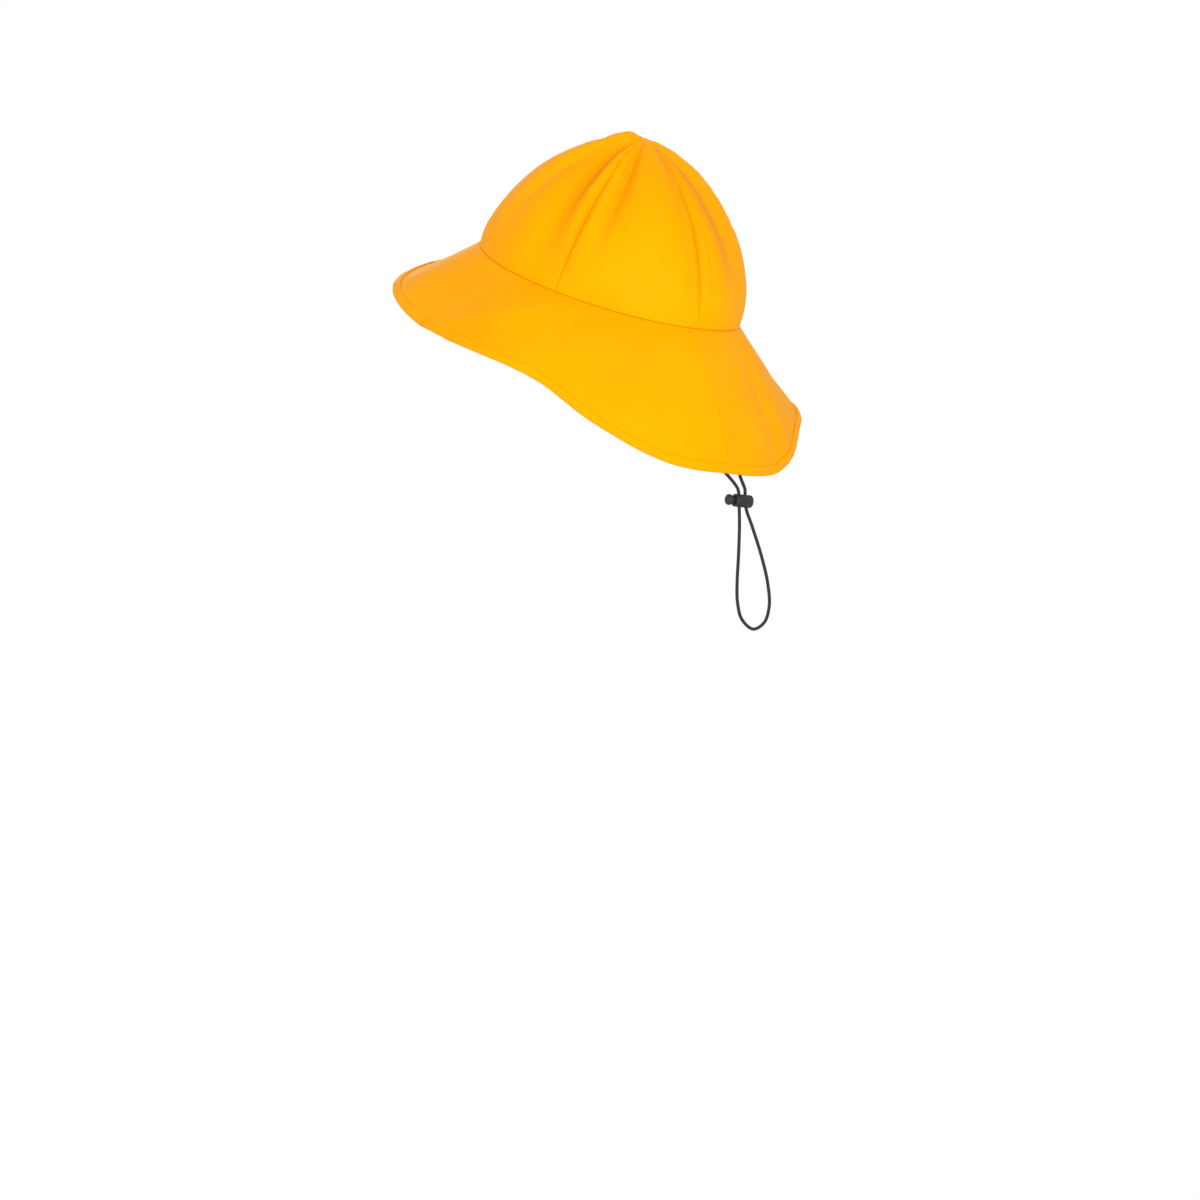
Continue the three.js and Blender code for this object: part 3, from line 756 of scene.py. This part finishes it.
# ---- edge strip: a folded strip round the brim's edge, stitched through
edgeStrip = {
    "width": 0.005,
    "wall": 0.0009,
    "gap": 0.00015,
    "joint": 88,
    "stitchInset": 0.0005,  # from the brim's edge
    "edgeShare": 0.2,  # thickness left at the strip's upper edge
    "grooveDepth": 0.00032,
    "lapRise": 0.00045,  # how much the lapped end stands up
    "lapDegrees": 5,
    "lapFade": 1.2,
    "jointGap": 0.04,  # degrees on each side of the joint
    "puff": 0.00018,
    "stitchPitch": 0.0031,
    "threadLength": 0.0023,
    "threadDiameter": 0.00046,
}


def stripSection(lift):
    # places along the brim (outwards) and above its outer face, from the upper edge round to the lower one
    width, wall, gap = edgeStrip["width"], edgeStrip["wall"], edgeStrip["gap"]
    upper = []
    start = [-width, -width + 0.0001, -width + 0.0003]
    for along in [*start, *np.linspace(-width + 0.0006, 0, 16)]:
        bend = min(1, math.sqrt(max(0, (along + width) / 0.0009)))
        sink = edgeStrip["grooveDepth"] * math.exp(-(((along + edgeStrip["stitchInset"]) / 0.00045) ** 2))
        swell = math.sin(math.pi * min(1, (along + width) / (width - edgeStrip["stitchInset"])))
        thick = edgeStrip["edgeShare"] + (1 - edgeStrip["edgeShare"]) * bend
        upper.append((along, gap + wall * thick - sink + edgeStrip["puff"] * swell + lift))
    mid = -cloth["wall"] / 2
    tall = upper[-1][1] - mid
    turns = np.linspace(0.2, math.pi - 0.2, 9)
    fold = [(tall * 0.75 * math.sin(turn), mid + tall * math.cos(turn)) for turn in turns]
    lower = [(along, 2 * mid - up) for along, up in upper[::-1]]
    return upper + fold + lower


def makeEdgeStrip():
    start, apart = edgeStrip["joint"], edgeStrip["jointGap"]
    normals = gridNormals(brimOuter, 1)
    turns = np.concatenate([brimDegrees, brimDegrees + 360])
    edge, inside, up = (np.concatenate([t, t]) for t in (brimOuter[:, 0], brimOuter[:, 6], normals[:, 2]))
    # the strip runs straight over the groove of the back seam
    count, bridge = len(brimDegrees), len(rollSteps) + 1
    first, last = count - bridge - 1, count + bridge
    part = ((turns[first:last + 1] - turns[first]) / (turns[last] - turns[first]))[:, None]
    for table in (edge, inside, up):
        table[first:last + 1] = table[first] * (1 - part) + table[last] * part
    main = turns[(turns > start + 0.3) & (turns < start + 359.7)]
    ends = [start + apart, start + 0.3, start + 0.6, start + 360 - apart]
    half = cloth["wall"] / 2
    clear = half + edgeStrip["gap"]
    flat = stripSection(0)
    outerRings, innerRings = [], []
    for place in np.unique(np.concatenate([main, ends])):
        at, back, above = (between(place, turns, table) for table in (edge, inside, up))
        outwards, above = unit(at - back), unit(above)
        lap = float(fadeIn(start + edgeStrip["lapDegrees"] - place, edgeStrip["lapFade"]))
        section = stripSection(edgeStrip["lapRise"] * lap)
        outerRings.append([at + outwards * along + above * height for along, height in section])
        inner = []
        for along, height in flat:
            side = np.clip((height + half) / clear, -1, 1)
            inner.append(at + outwards * min(along, edgeStrip["gap"]) + above * (side * clear - half))
        innerRings.append(inner)
    outer = np.array(outerRings)[:, ::-1]
    inner = np.array(innerRings)[:, ::-1]
    run = runAlong(outer[:, len(flat) // 2], 0)
    uv = np.stack(np.meshgrid(run, runAlong(outer[0], 0), indexing="ij"), axis=-1)
    piece = shell("edgeStrip", tipBack(outer), tipBack(inner), uv)
    groove = min(range(len(flat)), key=lambda i: abs(flat[i][0] + edgeStrip["stitchInset"]))
    return piece, [tipBack(outer[:, -1 - groove]), tipBack(outer[:, groove])]


stripPiece, stitchRows = makeEdgeStrip()
print("edge strip made")

# ---- stitches by Geometry Nodes
sewing = {
    "stray": 4.0,  # degrees that a stitch may lie off its row
    "segments": 6,
    "rings": 5,
    "seed": 7,
}


def inputSocket(tree, name, kind, value=None):
    socket = tree.interface.new_socket(name=name, in_out="INPUT", socket_type=kind)
    if value is not None:
        socket.default_value = value
    return socket.identifier


def stitchTree():
    # small capsules laid along the edges of the mesh, one for each pitch
    tree = bpy.data.node_groups.new("stitchRow", "GeometryNodeTree")
    ids = {
        "path": inputSocket(tree, "Path", "NodeSocketGeometry"),
        "pitch": inputSocket(tree, "Pitch", "NodeSocketFloat", 0.003),
        "long": inputSocket(tree, "Stitch Length", "NodeSocketFloat", 0.0022),
        "thick": inputSocket(tree, "Thread Diameter", "NodeSocketFloat", 0.0005),
        "stray": inputSocket(tree, "Stray Degrees", "NodeSocketFloat", sewing["stray"]),
        "thread": inputSocket(tree, "Thread", "NodeSocketMaterial"),
    }
    tree.interface.new_socket(name="Stitches", in_out="OUTPUT", socket_type="NodeSocketGeometry")
    source = addNode(tree, "NodeGroupInput", (0, 0))
    curve = addNode(tree, "GeometryNodeMeshToCurve", (1, 0))
    spread = addNode(tree, "GeometryNodeCurveToPoints", (2, 0), mode="LENGTH")
    parts = {"Segments": sewing["segments"], "Rings": sewing["rings"], "Radius": 0.5}
    bead = addNode(tree, "GeometryNodeMeshUVSphere", (2, -1), parts)
    stray = addNode(tree, "FunctionNodeRandomValue", (2, 1), {"Seed": sewing["seed"]}, data_type="FLOAT")
    size = addNode(tree, "ShaderNodeCombineXYZ", (3, -1))
    lay = addNode(tree, "FunctionNodeRotateRotation", (3, 1), rotation_space="LOCAL")
    tilt = addNode(tree, "FunctionNodeAxisAngleToRotation", (3, 2), {"Axis": (0, 1, 0)})
    turn = addNode(tree, "ShaderNodeMath", (2, 2), operation="RADIANS")
    low = addNode(tree, "ShaderNodeMath", (1, 2), {1: -1}, operation="MULTIPLY")
    place = addNode(tree, "GeometryNodeInstanceOnPoints", (4, 0))
    real = addNode(tree, "GeometryNodeRealizeInstances", (5, 0))
    finish = addNode(tree, "GeometryNodeSetMaterial", (6, 0))
    out = addNode(tree, "NodeGroupOutput", (7, 0))
    wires = (
        (source, "Path", curve, "Mesh"), (curve, "Curve", spread, "Curve"),
        (source, "Pitch", spread, "Length"), (source, "Thread Diameter", size, "X"),
        (source, "Thread Diameter", size, "Y"), (source, "Stitch Length", size, "Z"),
        (source, "Stray Degrees", low, "Value"), (low, "Value", stray, "Min"),
        (source, "Stray Degrees", stray, "Max"), (stray, "Value", turn, "Value"),
        (turn, "Value", tilt, "Angle"), (spread, "Rotation", lay, "Rotation"),
        (tilt, "Rotation", lay, "Rotate By"), (spread, "Points", place, "Points"),
        (bead, "Mesh", place, "Instance"), (lay, "Rotation", place, "Rotation"),
        (size, "Vector", place, "Scale"), (place, "Instances", real, "Geometry"),
        (real, "Geometry", finish, "Geometry"), (source, "Thread", finish, "Material"),
        (finish, "Geometry", out, "Stitches"),
    )
    for start, output, end, entry in wires:
        leave = next(socket for socket in start.outputs if socket.enabled and socket.name == output)
        enter = next(socket for socket in end.inputs if socket.enabled and socket.name == entry)
        tree.links.new(leave, enter)
    return tree, ids


stitchNodes, stitchIds = stitchTree()


def stitched(name, rows, pitch, long, thick):
    points, edges = [], []
    for row in rows:
        first = len(points)
        points += list(row)
        edges += [(i, i + 1) for i in range(first, len(points) - 1)]
    piece = meshFrom(name, points, [], edges)
    nodes = piece.modifiers.new("stitches", "NODES")
    nodes.node_group = stitchNodes
    values = {"pitch": pitch, "long": long, "thick": thick, "thread": threadMaterial}
    for key, value in values.items():
        nodes[stitchIds[key]] = value
    keepResult(piece)
    piece.data.shade_smooth()
    return piece


# ---- materials
finish = {
    "yellow": (1, 0.425, 0.0003),
    "deepYellow": (1, 0.392, 0.0003),
    # darker amber that is painted into the creases as shade
    "creaseShadeAmber": (0.86, 0.3, 0.0003),
    "thread": (0.93, 0.47, 0.01),
    "threadShade": (0.82, 0.36, 0.006),
    "cordBlack": (0.012, 0.012, 0.013),
    "cordGrey": (0.022, 0.022, 0.024),
    "plasticBlack": (0.014, 0.014, 0.016),
    "plasticGrey": (0.02, 0.02, 0.022),
    "tapeGrey": (0.03, 0.03, 0.032),
}


def newMaterial(name, roughness, specular, sheen=0):
    material = bpy.data.materials.new(name)
    material.use_nodes = True
    tree = material.node_tree
    shader = tree.nodes["Principled BSDF"]
    shader.inputs["Roughness"].default_value = roughness
    shader.inputs["Specular IOR Level"].default_value = specular
    shader.inputs["Sheen Weight"].default_value = sheen
    return material, tree, shader


def mixColours(tree, factor, one, two, place=(0, 0)):
    mix = addNode(tree, "ShaderNodeMix", place, {6: (*one, 1), 7: (*two, 1)}, data_type="RGBA")
    tree.links.new(factor, mix.inputs[0])
    return mix.outputs[2]


def paint(tree, shader, factor, one, two):
    tree.links.new(mixColours(tree, factor, one, two), shader.inputs["Base Color"])


def objectPlace(tree, place=(-4, 0)):
    return addNode(tree, "ShaderNodeTexCoord", place).outputs["Object"]


def remap(tree, value, low, high, toLow, toHigh, place=(0, 0)):
    limits = {"From Min": low, "From Max": high, "To Min": toLow, "To Max": toHigh}
    node = addNode(tree, "ShaderNodeMapRange", place, limits)
    tree.links.new(value, node.inputs["Value"])
    return node.outputs["Result"]


def weaveHeight(tree, pitch, place=(0, 0)):
    # crossing threads on the piece's own cloth coordinates
    uv = addNode(tree, "ShaderNodeUVMap", place, uv_map="clothUv")
    bands = {"Scale": math.pi / (10 * pitch), "Distortion": 0.6, "Detail Scale": 2}
    heights = []
    for k, direction in enumerate(("X", "Y")):
        wave = addNode(tree, "ShaderNodeTexWave", (place[0] + 1, place[1] + k), bands, wave_type="BANDS")
        wave.bands_direction = direction
        tree.links.new(uv.outputs["UV"], wave.inputs["Vector"])
        heights.append(wave.outputs["Fac"])
    both = addNode(tree, "ShaderNodeMath", (place[0] + 2, place[1]), operation="ADD")
    for k, height in enumerate(heights):
        tree.links.new(height, both.inputs[k])
    return both.outputs[0]


def bumpOn(tree, shader, height, strength, distance, below=None):
    bump = addNode(tree, "ShaderNodeBump", (3, -2), {"Strength": strength, "Distance": distance})
    tree.links.new(height, bump.inputs["Height"])
    if below is not None:
        tree.links.new(below, bump.inputs["Normal"])
    tree.links.new(bump.outputs["Normal"], shader.inputs["Normal"])
    return bump.outputs["Normal"]


def noiseOn(tree, coordinates, scale, detail=3, place=(0, 0)):
    noise = addNode(tree, "ShaderNodeTexNoise", place, {"Scale": scale, "Detail": detail})
    tree.links.new(coordinates, noise.inputs["Vector"])
    return noise.outputs["Fac"]


def coatedCloth():
    material, tree, shader = newMaterial("coatedCloth", 0.52, 0.015)
    where = objectPlace(tree)
    broad = noiseOn(tree, where, 14, 2, (-3, 1))
    colour = mixColours(tree, remap(tree, broad, 0.35, 0.65, 0, 1), finish["yellow"], finish["deepYellow"])
    # painted shade: the crease attribute mixes the yellow towards a darker amber in the folds
    crease = addNode(tree, "ShaderNodeAttribute", (-1, 2), attribute_name="crease")
    shadedColour = mixColours(tree, crease.outputs["Fac"], finish["yellow"], finish["creaseShadeAmber"], (1, 1))
    tree.links.new(colour, shadedColour.node.inputs[6])
    tree.links.new(shadedColour, shader.inputs["Base Color"])
    grain = noiseOn(tree, where, 900, 3, (-3, -1))
    tree.links.new(remap(tree, grain, 0.3, 0.7, 0.4, 0.52), shader.inputs["Roughness"])
    coarse = bumpOn(tree, shader, grain, 0.12, 0.0002)
    bumpOn(tree, shader, weaveHeight(tree, 0.00055, (-3, -3)), 0.06, 0.00012, coarse)
    return material


def sewingThread():
    material, tree, shader = newMaterial("sewingThread", 0.6, 0.3)
    twist = noiseOn(tree, objectPlace(tree), 2600, 2)
    paint(tree, shader, twist, finish["thread"], finish["threadShade"])
    bumpOn(tree, shader, twist, 0.5, 0.0001)
    return material


def braidedCord():
    material, tree, shader = newMaterial("braidedCord", 0.75, 0.3, 0.3)
    uv = addNode(tree, "ShaderNodeUVMap", (-4, 0), uv_map="clothUv")
    split = addNode(tree, "ShaderNodeSeparateXYZ", (-3, 0))
    tree.links.new(uv.outputs["UV"], split.inputs["Vector"])
    fibre = noiseOn(tree, objectPlace(tree, (-4, -2)), 3000, 2, (-3, -2))
    pace = 2 * math.pi / chinCord["braidPitch"]
    pick = addNode(tree, "ShaderNodeMath", (-2, 0), {1: pace}, operation="MULTIPLY")
    tree.links.new(split.outputs["Y"], pick.inputs[0])
    wave = addNode(tree, "ShaderNodeMath", (-1, 0), operation="SINE")
    tree.links.new(pick.outputs[0], wave.inputs[0])
    factor = remap(tree, wave.outputs[0], -1, 1, 0, 1)
    paint(tree, shader, factor, finish["cordBlack"], finish["cordGrey"])
    bumpOn(tree, shader, fibre, 0.5, 0.0001)
    return material


def mouldedPlastic():
    material, tree, shader = newMaterial("mouldedPlastic", 0.42, 0.45)
    grain = noiseOn(tree, objectPlace(tree), 1800, 2)
    paint(tree, shader, grain, finish["plasticBlack"], finish["plasticGrey"])
    tree.links.new(remap(tree, grain, 0.3, 0.7, 0.36, 0.5), shader.inputs["Roughness"])
    bumpOn(tree, shader, grain, 0.15, 0.0001)
    return material


def wovenTape():
    material, tree, shader = newMaterial("wovenTape", 0.8, 0.25, 0.3)
    threads = weaveHeight(tree, 0.0009, (-3, -3))
    paint(tree, shader, remap(tree, threads, 0.4, 1.6, 0, 1), finish["cordBlack"], finish["tapeGrey"])
    bumpOn(tree, shader, threads, 0.5, 0.0002)
    return material


clothMaterial = coatedCloth()
threadMaterial = sewingThread()
cordMaterial = braidedCord()
plasticMaterial = mouldedPlastic()
tapeMaterial = wovenTape()
print("materials made")

# ---- tabs: folded tapes inside the headband that hold the cord's ends
cordTab = {
    "width": 0.012,
    "height": 0.013,
    "thick": 0.003,
    "ply": 0.00115,
    "rise": 0.004,
    "gap": 0.0003,
    "stitchInset": 0.0015,
    "stitchFoot": 0.0005,  # height of the lowest row of stitches
    "threadLift": 0.00005,
    "stitchPitch": 0.0021,
    "threadLength": 0.0017,
    "threadDiameter": 0.0004,
}


def makeTab(name, side):
    at = 90 if side > 0 else 270
    slope = math.radians(float(brimValue(2, at)) - float(brimValue(3, at)) / 2)
    share = math.sqrt(1 - (cordTab["width"] / headband["length"]) ** 2)
    bandInside = headband["width"] / 2 * share - cloth["wall"] / math.sin(slope)
    middle = side * (bandInside - cordTab["gap"] - cordTab["thick"] / 2)
    half = cordTab["thick"] / 2
    low, high = cordTab["rise"] - cordTab["height"], cordTab["rise"]
    bend = np.linspace(0, math.pi, 13)
    line = [(half, high)] + [(half, z) for z in np.linspace(high, low + half, 8)[1:-1]]
    line += [(half * math.cos(a), low + half - half * math.sin(a)) for a in bend]
    line += [(-half, z) for z in np.linspace(low + half, high, 8)[1:]]
    inside = []
    for x, z in line:
        if z > low + half:
            inside.append((x - math.copysign(cordTab["ply"], x), z))
        else:
            shrink = (half - cordTab["ply"]) / half
            inside.append((x * shrink, low + half + (z - low - half) * shrink))
    wide = np.linspace(-cordTab["width"] / 2, cordTab["width"] / 2, 17)
    outer = np.array([[(middle + x, y, z) for x, z in line] for y in wide])
    inner = np.array([[(middle + x, y, z) for x, z in inside] for y in wide])
    run = runAlong(outer[0], 0)
    uv = np.stack(np.meshgrid(wide, run, indexing="ij"), axis=-1)
    piece = shell(name, tipBack(outer), tipBack(inner), uv)
    turnOutwards(piece)
    aside, top = wide[-1] - cordTab["stitchInset"], high - cordTab["stitchInset"]
    foot = cordTab["stitchFoot"]
    box = ((-aside, top), (aside, top), (aside, foot), (-aside, foot), (-aside, top))
    rows = []
    for face in (-1, 1):
        x = middle + face * (half + cordTab["threadLift"])
        rows.append(tipBack(np.array([(x, y, z) for y, z in box])))
    seam = stitched(
        name + "Stitches", rows, cordTab["stitchPitch"], cordTab["threadLength"], cordTab["threadDiameter"],
    )
    return piece, seam


tabs = [makeTab("cordTabLeft", 1), makeTab("cordTabRight", -1)]
edgeStitches = stitched(
    "edgeStitches", stitchRows, edgeStrip["stitchPitch"], edgeStrip["threadLength"],
    edgeStrip["threadDiameter"],
)
print("tabs and stitches made")


# ---- finishes and bodies
def dress(piece, material, nodes=()):
    piece.data.materials.clear()
    piece.data.materials.append(material)
    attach(piece, "root")
    if nodes:
        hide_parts(*nodes)


for k, (gore, sizes) in enumerate(gores):
    dress(gore, clothMaterial, ["crown_gore_%d" % (k + 1)])
dress(brimPiece, clothMaterial, ["brim_panel"])
dress(stripPiece, clothMaterial, ["edge_binding"])
dress(edgeStitches, threadMaterial)
for (tab, seam), node in zip(tabs, ("cord_tab_left", "cord_tab_right")):
    dress(tab, tapeMaterial, [node])
    dress(seam, threadMaterial)
dress(cordPiece, cordMaterial, ["chin_cord_left", "chin_cord_right", "chin_cord_loop"])
dress(lockBarrel, plasticMaterial, ["cord_stopper_barrel"])
dress(lockPlunger, plasticMaterial, ["cord_stopper_plunger"])

for gore, (width, long, area) in gores:
    print("%s: %.3f by %.3f m, %.4f m2" % (gore.name, width, long, area))

# ---- floor, light and background
studio = {
    "floor": -1.0,
    "floorHalf": 8,
    "floorColour": (0.84, 0.84, 0.83),
    "floorShade": (0.86, 0.86, 0.85),
    "worldTop": 0.7,
    "worldSide": 0.88,
    "keyTurn": 30,
    "keyRise": -8,
    "keyFar": 3.3,
    "keySize": 1.0,
    "keyPower": 50,
    "softSize": 1.6,
    "softLights": (  # name, place, power
        ("sideLight", (2.2, -1.4, 1.8), 7), ("fillLight", (-1.6, -2.4, 1.4), 12),
        ("rimLight", (-2.6, 0.7, 0.2), 3),
    ),
}


def areaLight(name, place, size, power):
    data = bpy.data.lights.new(name, "AREA")
    data.shape = "DISK"
    data.size = size
    data.energy = power
    aim(addObject(name, data), place, place)


def makeStudio():
    world = bpy.data.worlds.new("paleStudio")
    bpy.context.scene.world = world
    world.use_nodes = True
    tree = world.node_tree
    background = tree.nodes["Background"]
    # the room's light is softer from above
    way = addNode(tree, "ShaderNodeTexCoord", (-3, 0))
    split = addNode(tree, "ShaderNodeSeparateXYZ", (-2, 0))
    tree.links.new(way.outputs["Generated"], split.inputs["Vector"])
    light = remap(tree, split.outputs["Z"], 0, 1, studio["worldSide"], studio["worldTop"], (-1, 0))
    tree.links.new(light, background.inputs["Strength"])
    seen = addNode(tree, "ShaderNodeBackground", (0, -1))
    seen.inputs["Strength"].default_value = 1
    for node in (background, seen):
        node.inputs["Color"].default_value = (1, 1, 1, 1)
    rays = addNode(tree, "ShaderNodeLightPath", (-1, 1))
    mix = addNode(tree, "ShaderNodeMixShader", (1, 0))
    tree.links.new(rays.outputs["Is Camera Ray"], mix.inputs[0])
    tree.links.new(background.outputs[0], mix.inputs[1])
    tree.links.new(seen.outputs[0], mix.inputs[2])
    tree.links.new(mix.outputs[0], tree.nodes["World Output"].inputs["Surface"])
    half, level = studio["floorHalf"], studio["floor"]
    corners = [(-half, -half, level), (half, -half, level), (half, half, level), (-half, half, level)]
    floor = meshFrom("studioFloor", corners, [(0, 1, 2, 3)])
    material, tree, shader = newMaterial("paleFloor", 0.8, 0.1)
    paint(tree, shader, noiseOn(tree, objectPlace(tree), 2, 2), studio["floorColour"], studio["floorShade"])
    floor.data.materials.append(material)
    place = wayTo(studio["keyTurn"], studio["keyRise"]) * studio["keyFar"]
    areaLight("keyLight", place, studio["keySize"], studio["keyPower"])
    for name, place, power in studio["softLights"]:
        areaLight(name, place, studio["softSize"], power)
    bpy.context.scene.view_settings.view_transform = "Standard"


makeStudio()
print("studio made")
